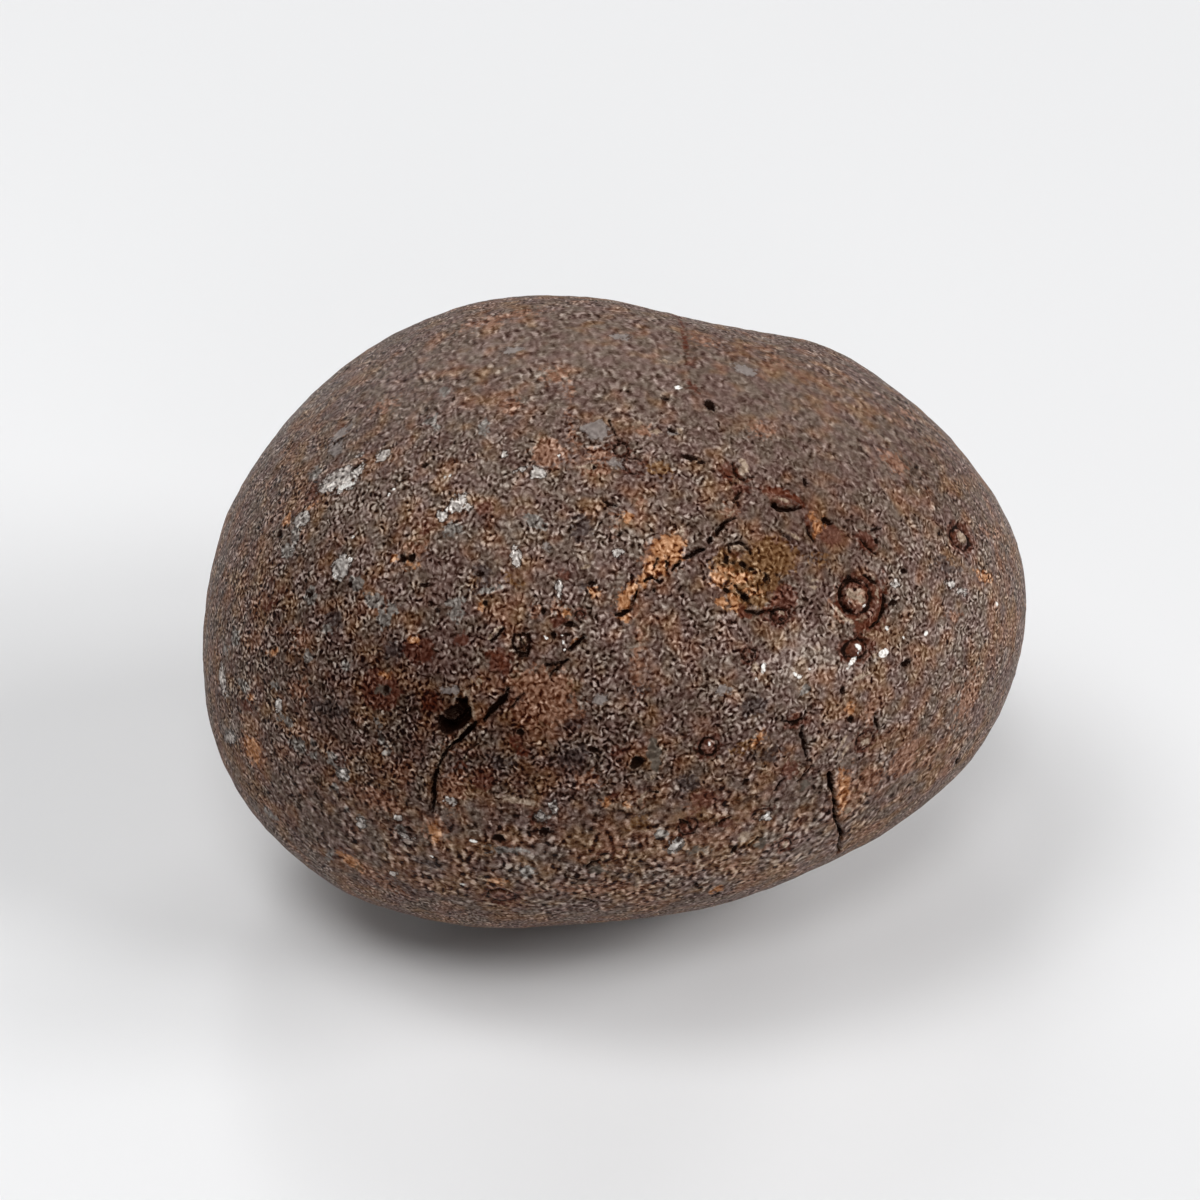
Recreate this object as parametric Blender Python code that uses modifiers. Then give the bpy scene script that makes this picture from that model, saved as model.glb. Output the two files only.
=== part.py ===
"""Stony meteorite: one rounded, weathered stone that rests on a small flat spot.

The stone is one piece of rock. It is egg-shaped, with a big blunt end at -X and a
smaller end at +X, a shallow waist across its upper back, and a small flat worn on
its underside. Metres, +Z up, origin at the middle of that flat, +X along the
longest side, towards the smaller end. -Y is the face that carries the crack.
"""

import math

import bmesh
import bpy
import numpy as np
from mathutils import Vector

# ---------------------------------------------------------------- dimensions
MM = 0.001

HALF_LENGTH = 14.5   # mm, centre to either end before the swells below
HALF_DEPTH = 12.1    # mm, centre to front and back
HALF_HEIGHT = 11.0   # mm, centre to top and bottom
FULLNESS = 2.1       # 2 is an ellipsoid, higher is boxier
REST_FLAT_DEPTH = 0.16   # mm of the underside worn away, which makes the flat

# Swells and flats: name, azimuth and elevation of its middle seen from the centre
# (degrees, azimuth 0 at +X and 90 at +Y), reach in degrees, height in mm.
SWELLS = (
    ("back shoulder flat", 42, 43, 34, -1.0),
    ("waist notch", 60, 46, 12, -0.3),
    ("small end tip", -5, -4, 30, 0.9),
    ("big end heel", 200, -33, 36, 1.0),
    ("big end upper flank", 150, 20, 26, -0.45),
    ("crown", 105, 54, 26, 0.25),
    ("belly", -110, -60, 30, -0.2),
    ("lower front flank", -44, -38, 24, -0.25),
    ("back hollow", 108, -12, 26, -0.5),
    ("lower back swell", 62, -42, 22, 0.25),
    ("big end facet", 176, 8, 18, -0.15),
)

CAGE_CUTS = 5        # cuts across each side of the cage
SMOOTH_LEVELS = 2    # subdivision levels over the cage
CAGE_PASSES = 5      # rounds of lifting the cage until its smooth surface is the stone's


def direction(azimuth, elevation):
    a, e = math.radians(azimuth), math.radians(elevation)
    return np.array((math.cos(e) * math.cos(a), math.cos(e) * math.sin(a), math.sin(e)))


def stone_radius(u):
    """Distance in mm from the centre to the surface, for unit directions u (N, 3)."""
    axes = np.array((HALF_LENGTH, HALF_DEPTH, HALF_HEIGHT))
    r = (np.abs(u / axes) ** FULLNESS).sum(axis=1) ** (-1.0 / FULLNESS)
    for _name, azimuth, elevation, reach, height in SWELLS:
        angle = np.degrees(np.arccos(np.clip(u @ direction(azimuth, elevation), -1.0, 1.0)))
        r = r + height * np.exp(-((angle / reach) ** 2))
    return r


def even_sphere(count):
    """Unit directions spread evenly over the sphere."""
    i = np.arange(count) + 0.5
    polar = np.arccos(1.0 - 2.0 * i / count)
    turn = math.pi * (1.0 + math.sqrt(5.0)) * i
    return np.stack((np.cos(turn) * np.sin(polar), np.sin(turn) * np.sin(polar), np.cos(polar)), axis=1)


def lowest_point():
    """The lowest point of the whole stone, in mm from its centre."""
    u = even_sphere(60000)
    points = u * stone_radius(u)[:, None]
    return points[points[:, 2].argmin()]


def collection(name):
    found = bpy.data.collections.new(name)
    bpy.context.scene.collection.children.link(found)
    return found


def rock_material():
    material = bpy.data.materials.new("weathered_chondrite")
    material.use_nodes = True
    shader = material.node_tree.nodes["Principled BSDF"]
    shader.inputs["Base Color"].default_value = (0.115, 0.082, 0.064, 1.0)
    shader.inputs["Roughness"].default_value = 0.55
    shader.inputs["Metallic"].default_value = 0.0
    material.diffuse_color = (0.115, 0.082, 0.064, 1.0)
    return material


def smoothed(bm, points):
    """Where subdivision without end takes each corner of a cage of four-sided faces."""
    out = np.empty_like(points)
    for vert in bm.verts:
        n = len(vert.link_faces)
        beside = sum(points[edge.other_vert(vert).index] for edge in vert.link_edges)
        across = 0.0
        for loop in vert.link_loops:
            across = across + points[loop.link_loop_next.link_loop_next.vert.index]
        out[vert.index] = (n * n * points[vert.index] + 4.0 * beside + across) / (n * (n + 5.0))
    return out


def build_cage(low):
    """A cube cut into a grid, rounded to a sphere of even cells, then pushed out to the stone.

    A smoothed surface lies inside its cage, so the cage is lifted by what it falls short.
    """
    bm = bmesh.new()
    bmesh.ops.create_cube(bm, size=2.0)
    bmesh.ops.subdivide_edges(bm, edges=bm.edges[:], cuts=CAGE_CUTS, use_grid_fill=True)
    bm.verts.index_update()
    u = np.array([[math.tan(c * math.pi / 4.0) for c in v.co] for v in bm.verts])
    u /= np.linalg.norm(u, axis=1)[:, None]
    wanted = u * stone_radius(u)[:, None]
    points = wanted.copy()
    for _ in range(CAGE_PASSES):
        points += wanted - smoothed(bm, points)
    points -= np.array((low[0], low[1], low[2] + REST_FLAT_DEPTH))
    for vert, point in zip(bm.verts, points):
        vert.co = Vector(point * MM)
    mesh = bpy.data.meshes.new("meteorite_stone")
    bm.to_mesh(mesh)
    bm.free()
    mesh.shade_smooth()
    return mesh


def main():
    for old in list(bpy.data.objects):
        bpy.data.objects.remove(old, do_unlink=True)

    parts = collection("stony_meteorite")
    cutters = collection("cutters")
    low = lowest_point()

    stone = bpy.data.objects.new("meteorite_stone", build_cage(low))
    stone.data.materials.append(rock_material())
    parts.objects.link(stone)

    smooth = stone.modifiers.new("rounding", "SUBSURF")
    smooth.levels = SMOOTH_LEVELS
    smooth.render_levels = SMOOTH_LEVELS

    # A block whose top is the plane z = 0 takes off the underside and leaves the rest flat.
    bm = bmesh.new()
    bmesh.ops.create_cube(bm, size=1.0)
    bmesh.ops.scale(bm, vec=Vector((30.0, 30.0, 6.0)) * MM, verts=bm.verts[:])
    bmesh.ops.translate(bm, vec=Vector((0.0, 0.0, -3.0)) * MM, verts=bm.verts[:])
    block = bpy.data.meshes.new("rest_flat_cutter")
    bm.to_mesh(block)
    bm.free()
    cutter = bpy.data.objects.new("rest_flat_cutter", block)
    cutter.hide_render = True
    cutter.display_type = "WIRE"
    cutters.objects.link(cutter)

    flat = stone.modifiers.new("rest_flat", "BOOLEAN")
    flat.operation = "DIFFERENCE"
    flat.solver = "EXACT"
    flat.object = cutter


main()
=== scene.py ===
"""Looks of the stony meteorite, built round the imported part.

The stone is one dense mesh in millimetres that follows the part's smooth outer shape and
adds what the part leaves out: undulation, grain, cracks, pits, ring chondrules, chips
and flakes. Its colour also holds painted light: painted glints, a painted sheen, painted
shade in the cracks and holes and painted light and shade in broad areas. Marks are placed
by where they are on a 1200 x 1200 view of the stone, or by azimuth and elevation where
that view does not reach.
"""

import math

import bpy
import numpy as np
from mathutils import Matrix, Vector
from mathutils.bvhtree import BVHTree


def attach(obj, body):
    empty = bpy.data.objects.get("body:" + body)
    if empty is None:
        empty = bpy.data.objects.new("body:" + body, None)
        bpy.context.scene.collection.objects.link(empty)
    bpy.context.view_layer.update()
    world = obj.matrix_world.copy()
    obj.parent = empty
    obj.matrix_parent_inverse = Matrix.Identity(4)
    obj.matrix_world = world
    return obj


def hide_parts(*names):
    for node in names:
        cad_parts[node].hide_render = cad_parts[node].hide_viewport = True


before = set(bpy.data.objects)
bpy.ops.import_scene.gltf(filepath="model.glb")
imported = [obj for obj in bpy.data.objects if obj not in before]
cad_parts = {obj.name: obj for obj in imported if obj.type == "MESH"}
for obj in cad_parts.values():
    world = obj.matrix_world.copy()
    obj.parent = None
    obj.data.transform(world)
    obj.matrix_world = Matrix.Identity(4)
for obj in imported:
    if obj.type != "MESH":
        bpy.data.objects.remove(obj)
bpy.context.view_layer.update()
MM = 0.001

# ------------------------------------------------------------------ stone shape, as the part's
HALF_LENGTH, HALF_DEPTH, HALF_HEIGHT = 14.5, 12.1, 11.0
FULLNESS = 2.1
REST_FLAT_DEPTH = 0.16
SWELLS = (
    ("back shoulder flat", 42, 43, 34, -1.0),
    ("waist notch", 60, 46, 12, -0.3),
    ("small end tip", -5, -4, 30, 0.9),
    ("big end heel", 200, -33, 36, 1.0),
    ("big end upper flank", 150, 20, 26, -0.45),
    ("crown", 105, 54, 26, 0.25),
    ("belly", -110, -60, 30, -0.2),
    ("lower front flank", -44, -38, 24, -0.25),
    ("back hollow", 108, -12, 26, -0.5),
    ("lower back swell", 62, -42, 22, 0.25),
    ("big end facet", 176, 8, 18, -0.15),
)
# Small local heights of the real outline that the part's smooth shape leaves out: azimuth, elevation, reach, mm.
FORM = (
    (8, 19, 11, -0.25), (30, 34, 9, 0.20), (93, 51, 12, -0.13), (147, 32, 13, 0.19), (166, 17, 10, 0.11), (172, 3, 12, 0.06),
    (-165, -17, 9, 0.10), (-148, -31, 7, 0.11), (-101, -41, 12, -0.12), (-60, -36, 16, -0.06), (-27, -17, 10, 0.05),
)


def direction(azimuth, elevation):
    a, e = math.radians(azimuth), math.radians(elevation)
    return np.array((math.cos(e) * math.cos(a), math.cos(e) * math.sin(a), math.sin(e)))


def stone_radius(u):
    axes = np.array((HALF_LENGTH, HALF_DEPTH, HALF_HEIGHT))
    r = (np.abs(u / axes) ** FULLNESS).sum(axis=1) ** (-1.0 / FULLNESS)
    for _name, azimuth, elevation, reach, height in SWELLS:
        angle = np.degrees(np.arccos(np.clip(u @ direction(azimuth, elevation), -1.0, 1.0)))
        r = r + height * np.exp(-((angle / reach) ** 2))
    return r


def even_sphere(count):
    i = np.arange(count) + 0.5
    polar = np.arccos(1.0 - 2.0 * i / count)
    turn = math.pi * (1.0 + math.sqrt(5.0)) * i
    return np.stack((np.cos(turn) * np.sin(polar), np.sin(turn) * np.sin(polar), np.cos(polar)), axis=1)


_u = even_sphere(60000)
_p = _u * stone_radius(_u)[:, None]
LOW = _p[_p[:, 2].argmin()]
SHIFT = -np.array((LOW[0], LOW[1], LOW[2] + REST_FLAT_DEPTH))
FLAT_ROUND = 0.05    # mm over which the edge of the rest flat is rounded


def flattened(z):
    """z with everything below 0 brought up to 0, over a small rounded edge."""
    e = FLAT_ROUND
    return np.where(z > e, z, np.where(z < -e, 0.0, (z + e) ** 2 / (4.0 * e)))


def surface(u):
    p = u * stone_radius(u)[:, None] + SHIFT
    p[:, 2] = flattened(p[:, 2])
    return p


# ------------------------------------------------------------------ camera
CAM_AZ, CAM_EL, CAM_DIST, MM_PER_PX = -8.0, 37.0, 160.0, 0.0364
_a, _e = math.radians(CAM_AZ), math.radians(CAM_EL)
BACK = np.array((math.sin(_a) * math.cos(_e), -math.cos(_a) * math.cos(_e), math.sin(_e)))
RIGHT = np.array((math.cos(_a), math.sin(_a), 0.0))
UP = np.cross(BACK, RIGHT)
TARGET = SHIFT + np.array((-0.2, 0.0, 0.15))
EYE = TARGET + BACK * CAM_DIST
FOCAL = CAM_DIST / MM_PER_PX

camera_data = bpy.data.cameras.new("camera")
camera_data.sensor_width = 36.0
camera_data.lens = 36.0 * FOCAL / 1200.0
camera_data.clip_start, camera_data.clip_end = 0.001, 20.0
camera = bpy.data.objects.new("camera", camera_data)
camera.matrix_world = Matrix((
    (RIGHT[0], UP[0], BACK[0], EYE[0] * MM),
    (RIGHT[1], UP[1], BACK[1], EYE[1] * MM),
    (RIGHT[2], UP[2], BACK[2], EYE[2] * MM),
    (0, 0, 0, 1),
))
bpy.context.scene.collection.objects.link(camera)
bpy.context.scene.camera = camera


# ------------------------------------------------------------------ triangles that split where detail is
def edges_of(tris):
    e = np.sort(np.concatenate((tris[:, (0, 1)], tris[:, (1, 2)], tris[:, (2, 0)])), axis=1)
    n = int(tris.max()) + 1
    key, back = np.unique(e[:, 0] * n + e[:, 1], return_inverse=True)
    return np.stack((key // n, key % n), axis=1), back.reshape(3, -1).T


def split(u, tris, edges, sides, marked):
    """Cuts the marked edges at their middles, with no cracks left between triangles."""
    mid = np.full(len(edges), -1)
    mid[marked] = len(u) + np.arange(int(marked.sum()))
    new = u[edges[marked, 0]] + u[edges[marked, 1]]
    u = np.concatenate((u, new / np.linalg.norm(new, axis=1)[:, None]))
    m = mid[sides]
    code = ((m >= 0) * (1, 2, 4)).sum(axis=1)
    out = [tris[code == 0]]

    def put(c, *corners):
        k = code == c
        v, w = tris[k], m[k]
        pick = {"0": v[:, 0], "1": v[:, 1], "2": v[:, 2], "a": w[:, 0], "b": w[:, 1], "c": w[:, 2]}
        for t in corners:
            out.append(np.stack([pick[x] for x in t], axis=1))

    put(1, "0a2", "a12")
    put(2, "01b", "0b2")
    put(4, "01c", "c12")
    put(3, "a1b", "0ab", "0b2")
    put(6, "b2c", "01b", "0bc")
    put(5, "0ac", "a1c", "c12")
    put(7, "0ac", "a1b", "cb2", "abc")
    return u, np.concatenate(out)


def icosphere(levels):
    g = (1 + math.sqrt(5)) / 2
    u = np.array([(-1, g, 0), (1, g, 0), (-1, -g, 0), (1, -g, 0), (0, -1, g), (0, 1, g),
                  (0, -1, -g), (0, 1, -g), (g, 0, -1), (g, 0, 1), (-g, 0, -1), (-g, 0, 1)], float)
    u /= np.linalg.norm(u, axis=1)[:, None]
    t = np.array([(0, 11, 5), (0, 5, 1), (0, 1, 7), (0, 7, 10), (0, 10, 11), (1, 5, 9), (5, 11, 4),
                  (11, 10, 2), (10, 7, 6), (7, 1, 8), (3, 9, 4), (3, 4, 2), (3, 2, 6), (3, 6, 8),
                  (3, 8, 9), (4, 9, 5), (2, 4, 11), (6, 2, 10), (8, 6, 7), (9, 8, 1)])
    for _ in range(levels):
        e, s = edges_of(t)
        u, t = split(u, t, e, s, np.ones(len(e), bool))
    return u, t


def normals_of(p, tris):
    n = np.cross(p[tris[:, 1]] - p[tris[:, 0]], p[tris[:, 2]] - p[tris[:, 0]])
    out = np.zeros_like(p)
    for k in range(3):
        for c in range(3):
            out[:, c] += np.bincount(tris[:, k], n[:, c], len(p))
    return out / np.linalg.norm(out, axis=1)[:, None]


# ------------------------------------------------------------------ noise
def noise(p, size, seed):
    """Smooth noise, about -1 to 1, with bumps about size mm across."""
    q = p / size
    i = np.floor(q).astype(np.int64)
    f = q - i
    w = f * f * f * (f * (f * 6 - 15) + 10)
    total = np.zeros(len(p))
    for a in (0, 1):
        for b in (0, 1):
            for c in (0, 1):
                h = ((i[:, 0] + a) * 374761393 + (i[:, 1] + b) * 668265263 + (i[:, 2] + c) * 1440662683 + seed * 1274126177) & 0xFFFFFFFF
                h = ((h ^ (h >> 13)) * 1274126177) & 0xFFFFFFFF
                h ^= h >> 16
                g = np.stack((h & 1023, (h >> 10) & 1023, (h >> 20) & 1023), axis=1) / 511.5 - 1
                d = (g * (f - (a, b, c))).sum(axis=1)
                total += d * (w[:, 0] if a else 1 - w[:, 0]) * (w[:, 1] if b else 1 - w[:, 1]) * (w[:, 2] if c else 1 - w[:, 2])
    return total * 1.3


def warped(p, size, amount, seed):
    return p + amount * np.stack([noise(p, size, seed + k) for k in range(3)], axis=1)


def smooth(x):
    x = np.clip(x, 0, 1)
    return x * x * (3 - 2 * x)


# ------------------------------------------------------------------ marks
base_u, base_t = icosphere(6)
base_p = surface(base_u)
base_tree = BVHTree.FromPolygons([Vector(v) for v in base_p], base_t.tolist())


def hit(x, y):
    d = -BACK + RIGHT * (x - 600) / FOCAL + UP * (600 - y) / FOCAL
    p, n, _i, _d = base_tree.ray_cast(Vector(EYE), Vector(d).normalized())
    if p is None:
        raise ValueError(f"the view's point {x}, {y} is not on the stone")
    return np.array(p), np.array(n)


class Place:
    """A point on the stone with axes in its surface: x and y as they run on the view."""

    def __init__(self, x, y):
        self.c, n = hit(x, y)
        if n @ BACK < 0:
            n = -n
        t = RIGHT - (RIGHT @ n) * n
        self.t = t / np.linalg.norm(t)
        self.s = np.cross(self.t, n)          # down the view
        lean = max(0.55, abs(self.s @ UP))
        self.mx = MM_PER_PX / max(0.55, abs(self.t @ RIGHT))
        self.my = MM_PER_PX / lean

    @staticmethod
    def on(azimuth, elevation):
        o = Place.__new__(Place)
        d = direction(azimuth, elevation)[None, :]
        o.c = surface(d)[0]
        e = 0.01
        du = [direction(azimuth + e, elevation)[None, :], direction(azimuth, elevation + e)[None, :]]
        a, b = surface(du[0])[0] - o.c, surface(du[1])[0] - o.c
        n = np.cross(a, b)
        n /= np.linalg.norm(n)
        o.t = a / np.linalg.norm(a)
        o.s = np.cross(o.t, n)
        o.mx = o.my = MM_PER_PX
        return o

    def local(self, p, turn=0.0):
        d = p - self.c
        x, y = d @ self.t / self.mx, d @ self.s / self.my
        a = math.radians(turn)
        # turn is counter-clockwise on the view, where y runs down
        return x * math.cos(a) - y * math.sin(a), x * math.sin(a) + y * math.cos(a), (d * d).sum(axis=1)


def spot(p, place, w, h, turn=0.0, reach=1.2):
    """The points within reach mm of an oval of w x h view pixels: which they are, their signed
    distance to its edge in mm, and their distance from its middle as a share of its radius."""
    size = max(w, h) / 2 * max(place.mx, place.my) + reach
    k = np.nonzero(((p - place.c) ** 2).sum(axis=1) < size * size)[0]
    x, y, _dd = place.local(p[k], turn)
    q = np.sqrt((2 * x / w) ** 2 + (2 * y / h) ** 2)
    return k, (q - 1) * min(w, h) / 2 * MM_PER_PX, q


def trace(points):
    """A line through view points (x, y, width) as points on the stone, normals and half widths in mm."""
    return [(*hit(x, y), wd / 2 * MM_PER_PX) for x, y, wd in points]


def line(p, traced):
    """Distance in mm to a traced line, its half width there, and the side of it."""
    best = np.full(len(p), 9.0)
    half = np.zeros(len(p))
    side = np.zeros(len(p))
    for (a, n, wa), (b, _n, wb) in zip(traced, traced[1:]):
        ab = b - a
        k = np.nonzero(((p - (a + b) / 2) ** 2).sum(axis=1) < (np.linalg.norm(ab) / 2 + 1.2) ** 2)[0]
        t = np.clip((p[k] - a) @ ab / (ab @ ab), 0, 1)
        off = p[k] - (a + t[:, None] * ab)
        d = np.sqrt((off * off).sum(axis=1))
        c = d < best[k]
        best[k[c]], half[k[c]] = d[c], (wa + t * (wb - wa))[c]
        side[k[c]] = (off @ np.cross(n, ab / np.linalg.norm(ab)))[c]
    return best, half, side


# Cracks and slits: points (x, y, width) in view pixels, then depth in mm.
CRACKS = (
    ([(432, 811, 1.5), (433, 800, 3), (434, 790, 4.5), (435, 780, 4.5), (437, 771, 3)], 0.28),
    ([(438, 768, 1.4), (441, 760, 2.6), (444, 755, 3), (448, 749, 2)], 0.20),
    ([(448, 749, 1.8), (454, 744, 2.6), (459, 740, 4), (464, 734, 5), (470, 729, 5.5), (475, 723, 3.5)], 0.30),
    ([(484, 720, 2), (491, 712, 5), (499, 704, 7), (504, 697, 6), (508, 690, 3.5)], 0.28),
    ([(511, 708, 1.8), (518, 700, 3), (523, 694, 1.6)], 0.12),
    ([(546, 665, 2), (556, 664, 3), (563, 663, 4), (569, 660, 1.6)], 0.16),
    ([(561, 666, 2.6), (553, 671, 3), (549, 677, 2)], 0.14),
    ([(585, 637, 3), (578, 643, 4.2), (570, 650, 2.6)], 0.18),
    ([(503, 628, 2), (498, 635, 3.2), (492, 641, 3)], 0.12),
    ([(478, 744, 1.2), (468, 752, 1.8), (456, 771, 1.2)], 0.05),
    ([(741, 490, 1.4), (738, 497, 3.6), (735, 502, 1.8)], 0.10),
    ([(735, 517, 1.2), (728, 520, 2.5), (722, 525, 4), (718, 530, 4), (717, 535, 1.6)], 0.22),
    ([(704, 549, 2), (697, 551, 5), (690, 556, 4.2), (684, 558, 1.6)], 0.20),
    ([(680, 562, 2), (676, 565, 4.4), (672, 570, 2)], 0.18),
    ([(664, 556, 1.4), (667, 563, 2.2), (666, 570, 1.2)], 0.08),
    ([(657, 559, 1.5), (655, 567, 2)], 0.08),
    ([(645, 581, 2), (653, 577, 2.4), (660, 582, 3)], 0.10),
    ([(637, 591, 2), (635, 598, 3.2), (631, 606, 2.4)], 0.16),
    ([(616, 615, 2.4), (622, 613, 3.6), (631, 610, 1.8)], 0.14),
    ([(772, 503, 2.4), (778, 508, 5), (786, 510, 5.5), (795, 509, 3), (801, 506, 1.6)], 0.16),
    ([(781, 532, 2), (786, 536, 3), (791, 540, 1.4)], 0.09),
    ([(729, 552, 1.6), (730, 545, 2.6), (740, 543, 2.6), (747, 548, 3), (751, 554, 1.6)], 0.08),
    ([(865, 574, 1.8), (872, 580, 4), (878, 584, 1.8)], 0.12),
    ([(884, 590, 2), (886, 602, 4.5), (884, 612, 5), (880, 621, 3.5), (872, 628, 2)], 0.11),
    ([(861, 539, 1.8), (869, 547, 3), (877, 554, 1.6)], 0.10),
    ([(871, 531, 1.5), (876, 529, 3), (882, 528, 1.4)], 0.09),
    ([(746, 611, 1.8), (757, 613, 3.4), (769, 611, 2.4), (776, 614, 1.4)], 0.10),
    ([(735, 586, 1.6), (741, 592, 3), (747, 600, 2), (752, 607, 1.4)], 0.09),
    ([(718, 586, 1.4), (725, 587, 2.4), (731, 584, 1.4)], 0.06),
    ([(808, 527, 1.6), (809, 534, 2.6), (813, 541, 1.4)], 0.08),
    ([(733, 463, 1.2), (735, 471, 2), (741, 478, 3), (747, 480, 3), (754, 476, 1.6)], 0.10),
    ([(609, 421, 1.2), (613, 431, 1.8), (618, 440, 1.5), (627, 446, 1)], 0.05),
    ([(603, 500, 1.4), (609, 505, 3), (616, 507, 1.4)], 0.07),
    ([(829, 774, 4), (831, 783, 5.5), (832, 790, 4), (833, 797, 2.4), (834, 804, 4), (834, 813, 2.2), (836, 822, 3), (839, 828, 4), (842, 834, 5), (839, 844, 2.8), (839, 852, 1.4)], 0.26),
    ([(840, 824, 1.8), (847, 817, 2)], 0.08),
    ([(786, 722, 2), (795, 723, 4.5), (804, 719, 3), (806, 712, 1.6)], 0.12),
    ([(803, 727, 1.6), (802, 735, 3), (805, 745, 3), (807, 757, 1.6)], 0.14),
    ([(876, 714, 1.4), (876, 721, 3.4), (878, 729, 1.4)], 0.10),
    ([(798, 782, 2), (806, 774, 3), (813, 766, 1.6)], 0.10),
    ([(775, 791, 1.8), (780, 785, 3.4), (785, 780, 1.6)], 0.10),
    ([(293, 444, 3), (288, 450, 1.2)], 0.08),
    ([(284, 461, 2.4), (277, 469, 4), (270, 477, 2)], 0.16),
    ([(265, 471, 2), (260, 477, 2.8)], 0.08),
    ([(489, 892, 1.4), (500, 889, 2.6), (512, 893, 1.6)], 0.10),
    ([(583, 899, 1.4), (595, 903, 2.4), (608, 901, 1.2)], 0.08),
    ([(586, 866, 1.8), (592, 862, 3.4), (600, 859, 1.8)], 0.10),
    ([(566, 877, 1.2), (578, 880, 2), (592, 878, 1.2)], 0.05),
    ([(750, 846, 2), (757, 838, 1.8)], 0.06),
    ([(715, 825, 1.8), (723, 821, 4.4), (731, 817, 1.8)], 0.12),
    ([(680, 820, 1.4), (686, 823, 3), (691, 829, 1.6)], 0.08),
    ([(649, 793, 1.6), (658, 792, 2.6)], 0.05),
    ([(457, 700, 3), (464, 703, 6), (468, 711, 7.5), (466, 720, 8), (457, 724, 10), (449, 728, 11), (443, 723, 9), (441, 717, 4)], 0.30),
    ([(520, 635, 1.6), (515, 635, 2.6), (513, 640, 2.4), (513, 647, 2.2), (517, 652, 4), (522, 655, 6.5), (527, 654, 4), (530, 646, 3.4), (529, 638, 3.4), (527, 634, 2.6), (523, 634, 1.6)], 0.10),
    ([(521, 636, 1.4), (522, 641, 1.8), (525, 645, 1.8), (527, 649, 2)], 0.06),
    ([(843, 584, 3), (841, 592, 4.5), (842, 600, 4.5), (847, 608, 4), (853, 612, 3)], 0.08),
    ([(846, 581, 3), (850, 578, 5), (855, 580, 4), (862, 583, 2.6)], 0.08),
)

# Holes: x, y, width, height, turn (degrees), depth in mm.
HOLES = (
    (448, 726, 17, 14, 20, 0.26), (455, 711, 24, 12, 35, 0.22), (463, 716, 12, 18, -40, 0.26), (466, 702, 6, 10, -20, 0.14),
    (710, 541, 5.5, 8, -20, 0.14), (637, 763, 13, 11, 0, 0.20),
    (594, 750, 10, 6, 0, 0.08), (412, 557, 7, 9, 0, 0.16), (404, 558, 5, 8, 0, 0.08), (907, 663, 10, 7, 30, 0.15),
    (667, 398, 9, 4, 0, 0.09), (710, 405, 12, 8, -40, 0.14), (690, 457, 14, 5, -15, 0.10), (701, 462, 7, 4, 15, 0.09),
    (671, 429, 7, 3, -15, 0.05), (824, 521, 6, 7, -20, 0.12), (829, 523, 8, 4.5, 10, 0.10), (726, 560, 5, 7, 0, 0.07), (743, 565, 7, 5, 0, 0.07), (752, 570, 7, 5, 0, 0.08), (733, 563, 5, 4, 0, 0.05),
    (745, 567, 5, 4, 0, 0.06), (727, 590, 6, 5, 0, 0.08), (746, 596, 7, 10, -20, 0.07), (767, 579, 5, 8, 0, 0.06), (774, 505, 8, 6, 0, 0.12), (905, 572, 5, 5, 0, 0.06),
    (893, 603, 7, 5, 0, 0.07), (877, 541, 4, 5, 0, 0.05), (842, 690, 5, 8, 0, 0.09), (850, 720, 8, 5, -35, 0.09),
    (956, 761, 5, 6, 0, 0.08), (716, 895, 8, 5, 30, 0.10), (700, 889, 4, 3, 0, 0.05), (695, 885, 3.5, 5, -30, 0.05),
    (746, 782, 7, 5, 20, 0.09), (781, 620, 6, 4, 0, 0.07), (353, 724, 7, 6, 0, 0.09), (386, 690, 6, 8, 0, 0.07),
    (350, 585, 4, 6, 0, 0.06), (280, 533, 5, 8, 0, 0.06), (455, 523, 6, 4, 0, 0.06), (425, 464, 4, 6, 0, 0.05),
    (431, 604, 4, 6, 0, 0.06), (437, 612, 7, 5, 0, 0.06), (425, 585, 9, 5, 0, 0.06), (481, 573, 7, 5, 0, 0.06),
    (520, 732, 8, 6, 0, 0.08), (485, 602, 3.5, 5, 0, 0.05), (593, 468, 4, 5, 0, 0.06), (590, 583, 8, 4, 0, 0.07),
    (600, 589, 3.5, 4, 0, 0.05), (620, 534, 4, 3.5, 0, 0.05), (499, 838, 12, 8, 0, 0.13), (545, 832, 10, 8, 0, 0.10),
    (735, 849, 5, 8, -40, 0.09), (654, 590, 4, 6, 0, 0.08), (570, 624, 10, 5, 0, 0.07), (553, 635, 5, 7, 0, 0.08),
    (566, 635, 8, 3.5, 0, 0.05), (544, 612, 4, 6, 0, 0.05), (350, 371, 8, 4, 40, 0.07), (311, 595, 5, 7, 0, 0.05),
    (339, 441, 10, 3, 15, 0.03), (356, 469, 9, 3, 25, 0.04), (805, 483, 4, 9, 0, 0.08), (408, 829, 7, 3, 0, 0.06),
)

# Ring chondrules: x, y, width and height across the middle of the ring, the ring's thickness, depth in mm.
RINGS = (
    (857, 597, 29, 33, 5.5, 0.11), (858, 650, 23, 19, 5.5, 0.10), (961, 538, 18, 21, 5, 0.09),
    (781, 616, 15, 14, 4.5, 0.09), (865, 741, 17, 16, 3, 0.05),
    (785, 845, 12, 12, 3, 0.05), (709, 748, 16, 17, 4, 0.08), (502, 896, 27, 14, 3, 0.05),
    (540, 818, 13, 12, 2.5, 0.04), (580, 616, 9, 9, 2, 0.03),
    (749, 655, 13, 12, 2.4, 0.04), (605, 857, 12, 9, 2, 0.03), (688, 827, 17, 16, 3, 0.05),
    (634, 466, 20, 15, 2, 0.03), (621, 450, 14, 13, 2, 0.03), (762, 814, 17, 11, 2, 0.03),
)

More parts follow.
